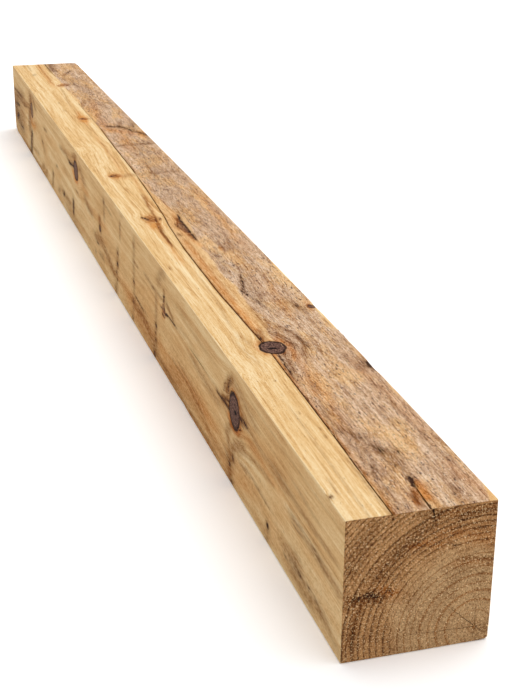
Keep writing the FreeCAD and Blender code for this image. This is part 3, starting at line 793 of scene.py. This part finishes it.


# Knots: place in millimetres (across, along, up), half-sizes, how far they swell the rings,
# how dark the heart is, how strong the orange rim is. A darkness of 2 is an open slit in the
# heart of a knot, which swells nothing and has no rim; it is painted near black as the slit's shade.
KNOTS = [
    ((62, 428.5, 160), (15.5, 20, 26), 13, 1.0, 1.0),
    ((61, 426, 160), (5.6, 2.6, 5), 0, 2.0, 0.0),
    ((0, 375, 103), (4, 4.0, 2.2), 0, 2.0, 0.0),
    ((0, 380, 102.7), (26, 22, 22), 15, 1.0, 1.0),
    ((40, 1001, 160), (12, 14, 18), 9, 0.1, 0.4),
    ((36, 1276, 160), (8, 10, 18), 8, 0.12, 0.6),
    ((61, 1750, 160), (7, 10, 16), 8, 0.2, 0.8),
    ((80, 2118, 160), (11, 14, 16), 8, 0.1, 0.5),
    ((76, 940, 160), (5, 26, 9), 7, 0.35, 1.0),
    ((154, 554, 160), (5, 7, 8), 4, 0.8, 0.7),
    ((0, 751, 97), (14, 9, 9), 6, 0.4, 0.7),
    ((0, 1246, 75), (14, 6.5, 6), 6, 0.9, 0.8),
    ((0, 1486, 118.5), (22, 22, 18), 13, 0.95, 1.0),
    ((0, 2078, 112), (22, 18, 17), 12, 0.75, 0.9),
    ((160, 610, 92), (24, 19, 17), 12, 0.9, 1.0),
    ((160, 1345, 56), (20, 12, 12), 8, 0.6, 0.9),
    ((160, 1930, 112), (24, 20, 18), 12, 0.8, 1.0),
    ((70, 880, 0), (14, 16, 20), 10, 0.9, 1.0),
    ((110, 1720, 0), (17, 18, 20), 11, 0.7, 1.0),
]


def wood_fields(pen):
    """What every sawn surface of the timber shares: its place, its knots and its growth rings."""
    object_place = pen.make("ShaderNodeTexCoord", output="Object")
    origin = tuple(-c / MM for c in timber_low)
    place = pen.vector("MULTIPLY_ADD", object_place, (1 / MM,) * 3, origin)
    axes = pen.make("ShaderNodeSeparateXYZ", {}, {0: place})
    across, along, up = (axes.output(k) for k in range(3))
    wander = pen.make("ShaderNodeTexNoise", {"noise_dimensions": "3D"},
                      {"Vector": pen.vector("MULTIPLY", place, (1 / 90, 1 / 520, 1 / 90)), "Scale": 1.0,
                       "Detail": 2.0, "Roughness": 0.45}, "Color")
    ripple = pen.make("ShaderNodeTexNoise", {"noise_dimensions": "3D"},
                      {"Vector": pen.vector("MULTIPLY", place, (1 / 11, 1 / 16, 1 / 11)), "Scale": 1.0,
                       "Detail": 2.0}, "Color")
    # The rings wander little at the near end, and more further along.
    drift = pen.vector("SUBTRACT", wander, (0.5,) * 3).scaled(along.eased(-40, 700) * 26 + 3)
    bent = pen.vector("MULTIPLY_ADD", drift, (1, 0, 1), place)
    shaken = pen.vector("MULTIPLY_ADD", pen.vector("SUBTRACT", ripple, (0.5,) * 3), (7, 9, 7), place)
    swelling, halo, flow = 0.0, 0.0, bent
    hearts, rims, squares = [], [], []
    for centre, size, swell, dark, orange in KNOTS:
        offset = pen.vector("SUBTRACT", shaken, centre)
        apart = pen.vector("MULTIPLY", offset, tuple(1 / s for s in size))
        square = pen.vector("DOT_PRODUCT", apart, apart, output="Value")
        fall = pen.math("EXPONENT", square * -0.28)
        swelling = fall * swell + swelling
        # The grain parts round a knot: draw each place back towards its middle.
        pull = pen.vector("MULTIPLY", offset, (-0.8, -0.1, -0.8)).scaled(fall)
        flow = pen.vector("ADD", flow, pull)
        halo = pen.math("EXPONENT", (pen.math("SQRT", square) - 1.1) ** 2.0 * -14) * orange + halo
        hearts.append(square.eased(1.2, 0.9) * dark)
        rims.append(square.eased(0.6, 1.0) * square.eased(1.35, 1.05) * dark)
        squares.append(square)
    from_pith = pen.vector("MULTIPLY", pen.vector("SUBTRACT", bent, (PITH[0], 0, PITH[1])), (1, 0, 1))
    radius = pen.vector("LENGTH", from_pith, output="Value") + swelling
    rings = radius * 0.07 + radius * radius * 0.00038
    jitter = pen.make("ShaderNodeTexNoise", {"noise_dimensions": "1D"},
                      {"W": rings * 0.9, "Scale": 1.0, "Detail": 1.0})
    counted = rings + jitter * 0.7
    share = pen.math("FRACT", counted)
    late = share.eased(0.4, 0.93) * share.eased(1.0, 0.93)
    strength = pen.make("ShaderNodeTexNoise", {"noise_dimensions": "1D"},
                        {"W": pen.math("FLOOR", counted) * 3.7, "Scale": 1.0, "Detail": 0.0})
    narrow = share.eased(0.66, 0.94) * share.eased(1.0, 0.94)
    return {"place": place, "across": across, "along": along, "up": up, "bent": bent, "shaken": shaken,
            "flow": flow, "halo": halo, "heart": reduce(Wire.highest, hearts),
            "rim": reduce(Wire.highest, rims), "nearest": reduce(Wire.lowest, squares),
            "radius": radius, "late": late, "narrow": narrow, "strength": strength}


def on_points(pen, name):
    """A value stored at the points of the mesh."""
    return pen.make("ShaderNodeAttribute", {"attribute_name": name}, output="Fac")


def stained(pen, colour, texture):
    """A colour under the stains of its place, each broken up by the texture of the surface."""
    mottle = ((texture - 0.5) * 3.2 + 0.5).highest(0.0).lowest(1.0)
    uneven = mottle * 1.3 + 0.35
    tints = {"umber": (0.48, 0.35, 0.25), "amber": (0.87, 0.59, 0.34), "ash": (0.50, 0.42, 0.37),
             "soil": (0.34, 0.25, 0.20)}
    for kind, tint in tints.items():
        amount = (on_points(pen, kind) * uneven).lowest(1.0)
        colour = colour.blend(amount, tint + (1.0,), "MULTIPLY")
    dark = (on_points(pen, "soil") + (mottle - 0.5) * 0.9).eased(0.6, 1.0)
    return colour.blend(dark * 0.85, seen(52, 34, 27))


def new_material(name):
    material = bpy.data.materials.new(name)
    material.use_nodes = True
    material.node_tree.nodes.clear()
    return material, Wire(material.node_tree)


def to_output(pen, surface):
    output = pen.tree.nodes.new("ShaderNodeOutputMaterial")
    pen.tree.links.new(surface.socket, output.inputs["Surface"])


def sawn_wood(pen, colour, roughness, height):
    """Raw wood: no varnish, hardly a sheen; height in millimetres."""
    bump = pen.make("ShaderNodeBump", {}, {"Height": height, "Distance": MM, "Strength": 1.0})
    to_output(pen, pen.make("ShaderNodeBsdfPrincipled", {}, {
        "Base Color": colour, "Roughness": roughness, "Normal": bump, "Specular IOR Level": 0.04}))


sawn_faces, pen = new_material("sawn_face")
wood = wood_fields(pen)
place, flow, along, up = wood["place"], wood["flow"], wood["along"], wood["up"]
thread = grain(flow, 1.5, 26, 3, 0.72)
long_thread = grain(flow, 1.5, 150, 2, 0.6, 2.0)
streak = grain(flow, 5.5, 240, 3, 0.7, 4.0)
band = grain(flow, 11, 420, 2, 0.5, 7.0)
dash = grain(flow, 2.3, 10, 3, 0.72, 9.0)
fleck = grain(flow, 1.8, 7, 2, 0.7, 11.0)
fuzz = grain(place, 1.8, 2.6, 2, 0.7, 12.0)
patch = grain(wood["bent"], 26, 120, 3, 0.6, 13.0)
worn = on_points(pen, "worn")
right_part = wood["across"].eased(60, 100)
upper = on_points(pen, "upper")
top = upper.eased(0.35, 0.65)

# Clean sawn sapwood: cream, with straw and honey threads along the grain.
tone = ((thread - 0.5) * 1.0 + (long_thread - 0.5) * 1.1 + (streak - 0.5) * 0.7 + (band - 0.5) * 1.2
        + (fuzz - 0.5) * 0.7 + wood["late"] * wood["strength"] * 0.3 + 0.42)
clean = pen.make("ShaderNodeValToRGB", {"stops": [
    (0.0, seen(252, 228, 184)), (0.3, seen(242, 209, 157)), (0.6, seen(229, 186, 126)),
    (1.0, seen(184, 132, 78))]}, {"Fac": tone})
clean = clean.blend(dash.eased(0.655, 0.71) * 0.8, seen(150, 100, 58))

# The sides are browner than the top, and their ramp is darker, partly as painted shade.
# Lower down, painted shade darkens and browns the sides between about 250 and 1400 mm along.
# Towards the ends their lower part is paler instead.
low_side = (1 - (up + (patch - 0.5) * 60).eased(30, 120)) * (1 - top)
shaded_run = along.eased(250, 600) * (1 - along.eased(1180, 1400))
side_tone = ((thread - 0.5) * 0.7 + (long_thread - 0.5) * 0.6 + (streak - 0.5) * 0.45 + (band - 0.5) * 1.1
             + (fuzz - 0.5) * 0.8 + (patch - 0.5) * 0.6 + wood["late"] * wood["strength"] * 0.15
             - low_side * (1 - shaded_run) * 0.15 + 0.42)
# The side ramp is a darker copy of the clean ramp: the sides' browner colour and painted shade.
side = pen.make("ShaderNodeValToRGB", {"stops": [
    (0.0, seen(246, 217, 168)), (0.35, seen(231, 193, 138)), (0.65, seen(214, 168, 112)),
    (1.0, seen(168, 118, 70))]}, {"Fac": side_tone})
side = side.blend(dash.eased(0.66, 0.74) * 0.6, seen(140, 92, 54))
# Painted shade: the lower sides darker and browner along the shaded run.
side = side.blend(low_side * shaded_run * 0.4, (0.94, 0.82, 0.66, 1.0), "MULTIPLY")
blush = grain(wood["bent"], 30, 150, 3, 0.6, 17.0)
flushed = blush.eased(0.44, 0.66) * (1 - up.eased(96, 150))
side = side.blend(flushed * 0.46, (0.90, 0.72, 0.54, 1.0), "MULTIPLY")
rough_side = (dash - 0.5) * low_side * 1.6 + (fleck - 0.5) * low_side * 1.2
side = side.blend(rough_side.highest(0.0), (0.56, 0.40, 0.27, 1.0), "MULTIPLY")
side = side.blend((0 - rough_side).highest(0.0), seen(250, 218, 168))
colour = side.blend(top, clean)

# Weathered wood: greyed and pinkish brown, rough, with dark dashes and pale flecks that are
# partly its own colour, partly painted shade in the sunk dashes and painted highlight on the
# raised flecks.
worn_tone = ((thread - 0.5) * 2.3 + (streak - 0.5) * 0.9 + (band - 0.5) * 0.8 + (fuzz - 0.5) * 1.9 + 0.39)
weathered = pen.make("ShaderNodeValToRGB", {"stops": [
    (0.0, seen(240, 211, 181)), (0.35, seen(219, 182, 147)), (0.65, seen(198, 156, 120)),
    (1.0, seen(140, 102, 78))]}, {"Fac": worn_tone})
warm = pen.make("ShaderNodeValToRGB", {"stops": [
    (0.0, seen(247, 211, 161)), (0.35, seen(230, 183, 129)), (0.65, seen(210, 157, 100)),
    (1.0, seen(160, 106, 62))]}, {"Fac": worn_tone})
weathered = weathered.blend(patch.eased(0.44, 0.62) * 0.9, warm)
smear = grain(flow, 6, 46, 3, 0.65, 15.0)
weathered = weathered.blend(smear.eased(0.50, 0.66) * 0.85, (0.66, 0.59, 0.56, 1.0), "MULTIPLY")
# Partly painted shade in the sunk dashes and painted highlight on the raised flecks.
weathered = weathered.blend(dash.eased(0.58, 0.65) * 0.95, seen(92, 64, 54))
weathered = weathered.blend(fleck.eased(0.60, 0.69) * 0.85, seen(252, 228, 200))
colour = colour.blend(on_points(pen, "past_check") * 0.65, warm)
colour = colour.blend(worn, weathered)
# A painted highlight: a pale line along the left arris, between the upper and left faces.
arris = upper.eased(0.0, 0.5) * (1 - upper.eased(0.5, 1.0)) * (1 - right_part)
colour = colour.blend(arris * 0.6, seen(252, 228, 184))

colour = stained(pen, colour, thread * 0.45 + dash * 0.55)
resin = wood["halo"].lowest(1.0) * (thread * 1.2).lowest(1.0)
colour = colour.blend(resin, (0.72, 0.45, 0.25, 1.0), "MULTIPLY")
knot_ring = pen.math("SINE", pen.math("SQRT", wood["nearest"]) * 26 + (fuzz - 0.5) * 3)
knot_tone = (grain(wood["shaken"], 1.8, 1.8, 2, 0.65, 21.0) - 0.5) * 1.6 + knot_ring * 0.07 + 0.5
knot_colour = pen.make("ShaderNodeValToRGB", {"stops": [
    (0.25, seen(54, 34, 30)), (0.5, seen(101, 72, 63)), (0.8, seen(156, 118, 98))]}, {"Fac": knot_tone})
colour = colour.blend(wood["heart"].lowest(1.0), knot_colour)
colour = colour.blend((wood["rim"] * (thread * 1.2 + 0.3)).lowest(1.0), seen(38, 22, 16))
# Painted shade: the open slits in knot hearts, near black.
colour = colour.blend(wood["heart"].eased(1.05, 1.5), seen(26, 15, 12))
# Painted shade: the walls of the cracks darken with their depth.
colour = colour.blend(on_points(pen, "crack").eased(0.0, 0.6), seen(42, 21, 11))

roughness = worn * 0.15 + 0.75
height = (thread * 0.4 + streak * 0.3 + fuzz * 0.35 + worn * (dash * -1.3 + fleck * 0.9 + thread * 0.5)
          + wood["late"] * 0.06 - wood["rim"] * 0.8 - on_points(pen, "soil") * 0.3)
sawn_wood(pen, colour, roughness, height)

end_grain, pen = new_material("sawn_end_grain")
wood = wood_fields(pen)
place = wood["place"]
fuzz = grain(place, 2.0, 2.0, 3, 0.72, 31.0)
speck = grain(place, 1.3, 1.3, 1, 0.6, 37.0)
mote = grain(place, 1.5, 1.5, 1, 0.6, 43.0)
cloud = grain(place, 22, 22, 2, 0.5, 41.0)
tear = pen.make("ShaderNodeTexNoise", {}, {"Vector": pen.vector("MULTIPLY", place, (1 / 1.3, 0, 1 / 5)),
                                          "Scale": 1.0, "Detail": 2.0, "Roughness": 0.6})
outer = (wood["radius"] + (cloud - 0.5) * 46).eased(74, 108)
line = wood["late"] * outer + wood["narrow"] * (1 - outer)
line = line * (wood["strength"] * 0.9 + 0.5) * wood["radius"].eased(-10, 30)
tone = (fuzz - 0.5) * 1.8 + (tear - 0.5) * 0.9 + (cloud - 0.5) * 0.7 + 0.42
heart_wood = pen.make("ShaderNodeValToRGB", {"stops": [
    (0.0, seen(226, 185, 136)), (0.5, seen(186, 145, 101)), (1.0, seen(122, 85, 53))]},
    {"Fac": tone + line * 0.2})
outer_wood = pen.make("ShaderNodeValToRGB", {"stops": [
    (0.0, seen(224, 172, 116)), (0.5, seen(186, 134, 85)), (1.0, seen(100, 62, 35))]},
    {"Fac": tone + line * 0.56 - 0.02})
colour = heart_wood.blend(line * 0.65, (0.80, 0.52, 0.30, 1.0), "MULTIPLY").blend(outer, outer_wood)
colour = stained(pen, colour, fuzz)
colour = colour.blend(speck.eased(0.60, 0.68) * 0.9, seen(248, 208, 154))
colour = colour.blend(mote.eased(0.62, 0.70) * 0.75, seen(88, 56, 34))
# Painted shade: the heart checks darken with their depth.
colour = colour.blend(on_points(pen, "crack").eased(0.0, 1.0) * 0.75, seen(58, 36, 22))
# The short split runs down the near end from the upper face, narrowing to nothing; it is painted dark as the
# shade inside the split.
SPLIT_TOP, SPLIT_ROOT, SPLIT_LEAN = 88.4, 139.5, 0.17
off_split = wood["across"] - SPLIT_TOP - (HEIGHT - wood["up"]) * SPLIT_LEAN + (fuzz - 0.5) * 1.6
half_gap = (wood["up"] - SPLIT_ROOT) * 0.062
slit = (half_gap - pen.math("ABSOLUTE", off_split)).eased(-0.25, 0.15) * (1 - wood["along"].eased(20, 60))
colour = colour.blend(slit * 0.95, seen(36, 20, 12))
sawn_wood(pen, colour, 0.9, fuzz * 0.9 + speck * 0.9 + tear * 0.5 - line * 0.2)

timber_mesh.materials.append(sawn_faces)
timber_mesh.materials.append(end_grain)
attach(timber, "root")
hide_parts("timber")

# ---------------------------------------------------------------------------------------
# The torn fibres.
# Slivers of the same wood that the saw lifted and left hanging: short ones scattered over
# both cross-cut ends, longer ones lying along the grain of the weathered upper face.
# ---------------------------------------------------------------------------------------
SLIVERS = {
    # where: slivers per square metre, length, thickness, least and greatest turn in degrees, seed
    "cut_end": (52000, 0.0015, 0.00085, (0, 0, 0), (24, 360, 0), 3),
    "worn": (9000, 0.0095, 0.0006, (-94, -8, -12), (-84, 8, 12), 8),
}


class Nodes:
    """Adds nodes to a Geometry Nodes tree: kind, settings, then values or links by input."""

    def __init__(self, tree):
        self.tree = tree

    def add(self, kind, settings=None, inputs=None):
        node = self.tree.nodes.new(kind)
        for name, value in (settings or {}).items():
            setattr(node, name, value)
        for name, value in (inputs or {}).items():
            if isinstance(value, bpy.types.NodeSocket):
                self.tree.links.new(value, node.inputs[name])
            else:
                node.inputs[name].default_value = value
        return node.outputs


def sliver_tree():
    tree = bpy.data.node_groups.new("slivers_on_wood", "GeometryNodeTree")
    tree.interface.new_socket("Geometry", in_out="OUTPUT", socket_type="NodeSocketGeometry")
    kinds = {"Geometry": "Geometry", "Where": "String", "Per Square Metre": "Float", "Length": "Float",
             "Thickness": "Float", "Least Turn": "Vector", "Greatest Turn": "Vector", "Seed": "Int",
             "Material": "Material"}
    for name, kind in kinds.items():
        tree.interface.new_socket(name, in_out="INPUT", socket_type="NodeSocket" + kind)
    nodes = Nodes(tree)
    given = nodes.add("NodeGroupInput")
    where = nodes.add("GeometryNodeInputNamedAttribute", {"data_type": "FLOAT"}, {"Name": given["Where"]})
    density = nodes.add("ShaderNodeMath", {"operation": "MULTIPLY"},
                        {0: where["Attribute"], 1: given["Per Square Metre"]})
    points = nodes.add("GeometryNodeDistributePointsOnFaces", {"distribute_method": "RANDOM"},
                       {"Mesh": given["Geometry"], "Density": density[0], "Seed": given["Seed"]})
    half = nodes.add("ShaderNodeMath", {"operation": "MULTIPLY"}, {0: given["Thickness"], 1: 0.5})
    tip = nodes.add("ShaderNodeMath", {"operation": "MULTIPLY"}, {0: given["Thickness"], 1: 0.12})
    sliver = nodes.add("GeometryNodeMeshCone", {"fill_type": "NGON"}, {
        "Vertices": 4, "Radius Top": tip[0], "Radius Bottom": half[0], "Depth": given["Length"]})
    turn = nodes.add("FunctionNodeRandomValue", {"data_type": "FLOAT_VECTOR"},
                     {0: given["Least Turn"], 1: given["Greatest Turn"], "Seed": given["Seed"]})
    size = nodes.add("FunctionNodeRandomValue", {"data_type": "FLOAT"}, {2: 0.45, 3: 1.5, "Seed": 21})
    shade = nodes.add("FunctionNodeRandomValue", {"data_type": "FLOAT"}, {2: 0.0, 3: 1.0, "Seed": 34})
    rotation = nodes.add("FunctionNodeEulerToRotation", {}, {0: turn[0]})
    placed = nodes.add("GeometryNodeInstanceOnPoints", {}, {
        "Points": points["Points"], "Instance": sliver["Mesh"], "Rotation": rotation[0], "Scale": size[1]})
    shaded = nodes.add("GeometryNodeStoreNamedAttribute", {"data_type": "FLOAT", "domain": "INSTANCE"},
                       {"Geometry": placed[0], "Name": "shade", "Value": shade[1]})
    real = nodes.add("GeometryNodeRealizeInstances", {}, {"Geometry": shaded[0]})
    done = nodes.add("GeometryNodeSetMaterial", {}, {"Geometry": real[0], "Material": given["Material"]})
    nodes.add("NodeGroupOutput", {}, {"Geometry": done[0]})
    return tree


sliver_wood, pen = new_material("sliver_wood")
fibre_place = pen.make("ShaderNodeTexCoord", output="Object").scaled(700)
grit = pen.make("ShaderNodeTexNoise", {}, {"Vector": fibre_place, "Scale": 1.0, "Detail": 1.0})
colour = pen.make("ShaderNodeValToRGB", {"stops": [
    (0.0, seen(120, 84, 58)), (0.25, seen(190, 144, 98)), (0.5, seen(232, 190, 138)),
    (1.0, seen(252, 222, 176))]}, {"Fac": on_points(pen, "shade") + (grit - 0.5) * 0.3})
sawn_wood(pen, colour, 0.85, grit * 0.1)

slivers = sliver_tree()
socket_of = {item.name: item.identifier for item in slivers.interface.items_tree if item.in_out == "INPUT"}
for where, (count, length, thickness, least, greatest, seed) in SLIVERS.items():
    source = bpy.data.objects.new("sliver_source", timber_mesh)
    bpy.context.scene.collection.objects.link(source)
    growing = source.modifiers.new("slivers", "NODES")
    growing.node_group = slivers
    given = {"Where": where, "Per Square Metre": float(count), "Length": length, "Thickness": thickness,
             "Least Turn": [math.radians(a) for a in least],
             "Greatest Turn": [math.radians(a) for a in greatest], "Seed": seed, "Material": sliver_wood}
    for name, value in given.items():
        growing[socket_of[name]] = value
    evaluated = source.evaluated_get(bpy.context.evaluated_depsgraph_get())
    fibre_mesh = bpy.data.meshes.new_from_object(evaluated)
    bpy.data.objects.remove(source)
    corners = np.empty(len(fibre_mesh.vertices) * 3, np.float32)
    fibre_mesh.vertices.foreach_get("co", corners)
    corners = np.clip(corners.reshape(-1, 3), np.array(timber_low) + 0.00002, np.array(timber_high) - 0.00002)
    fibre_mesh.vertices.foreach_set("co", corners.ravel())
    fibre_mesh.update()
    fibres = bpy.data.objects.new("fibres_" + where, fibre_mesh)
    bpy.context.scene.collection.objects.link(fibres)
    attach(fibres, "root")

# ---------------------------------------------------------------------------------------
# The floor, the light and the camera.
# A plain pale floor that shows white where no shadow falls, one broad soft light from
# overhead and a little to the right, and an even pale surround.
# ---------------------------------------------------------------------------------------
FLOOR_SIZE = 40.0
floor_mesh = bpy.data.meshes.new("floor")
half = FLOOR_SIZE / 2
floor_level = timber_low.z - 0.0004
floor_mesh.from_pydata([(-half, -half, floor_level), (half, -half, floor_level), (half, half, floor_level),
                        (-half, half, floor_level)], [], [(0, 1, 2, 3)])
floor = bpy.data.objects.new("floor", floor_mesh)
bpy.context.scene.collection.objects.link(floor)


def seen_directly(pen):
    """1 for what is seen, straight or by a mirror or through glass, and 0 for light on its way."""
    rays = pen.make("ShaderNodeLightPath")
    reflected = rays.output("Is Glossy Ray").highest(rays.output("Is Transmission Ray"))
    return rays.output("Is Camera Ray").highest(reflected)


floor_material, pen = new_material("pale_floor")
matt = pen.make("ShaderNodeBsdfDiffuse", {}, {"Color": (0.8, 0.8, 0.8, 1)})
whitening = pen.make("ShaderNodeCombineColor", {}, {k: seen_directly(pen) * 0.45 for k in range(3)})
lift = pen.make("ShaderNodeBsdfDiffuse", {}, {"Color": whitening})
to_output(pen, pen.make("ShaderNodeAddShader", {}, {0: matt, 1: lift}))
floor_mesh.materials.append(floor_material)

world = bpy.data.worlds.new("surround")
bpy.context.scene.world = world
world.use_nodes = True
world.node_tree.nodes.clear()
pen = Wire(world.node_tree)
SURROUND = 0.62
strength = seen_directly(pen) * (1 - SURROUND) + SURROUND
sky = pen.make("ShaderNodeBackground", {}, {"Color": (1, 1, 1, 1), "Strength": strength})
output = pen.tree.nodes.new("ShaderNodeOutputWorld")
pen.tree.links.new(sky.socket, output.inputs["Surface"])

lamp_data = bpy.data.lights.new("overhead_light", "SUN")
lamp_data.angle = math.radians(62)
lamp_data.energy = 1.42
lamp = bpy.data.objects.new("overhead_light", lamp_data)
LIGHT_FROM = Vector((0.30, 0.14, 1.0))
lamp.rotation_euler = LIGHT_FROM.to_track_quat("Z", "Y").to_euler()
bpy.context.scene.collection.objects.link(lamp)

CAMERA_OFFSET = Vector((-3.028, -6.626, 4.880)) * WIDTH * MM
CAMERA_TURN, CAMERA_DIP, CAMERA_ROLL = (math.radians(a) for a in (16.95, 21.84, -0.48))
camera_data = bpy.data.cameras.new("camera")
camera_data.sensor_fit = "VERTICAL"
camera_data.sensor_height = 24.0
camera_data.lens = 47.5303
camera_data.clip_start, camera_data.clip_end = 0.05, 100
camera = bpy.data.objects.new("camera", camera_data)
bpy.context.scene.collection.objects.link(camera)
camera.location = Vector((0, timber_low.y, timber_low.z)) + CAMERA_OFFSET
ahead = Vector((math.sin(CAMERA_TURN) * math.cos(CAMERA_DIP), math.cos(CAMERA_TURN) * math.cos(CAMERA_DIP),
                -math.sin(CAMERA_DIP)))
level = ahead.to_track_quat("-Z", "Y").to_matrix()
camera.rotation_euler = (level @ Matrix.Rotation(-CAMERA_ROLL, 3, "Z")).to_euler()
bpy.context.scene.camera = camera
bpy.context.scene.view_settings.view_transform = "Standard"
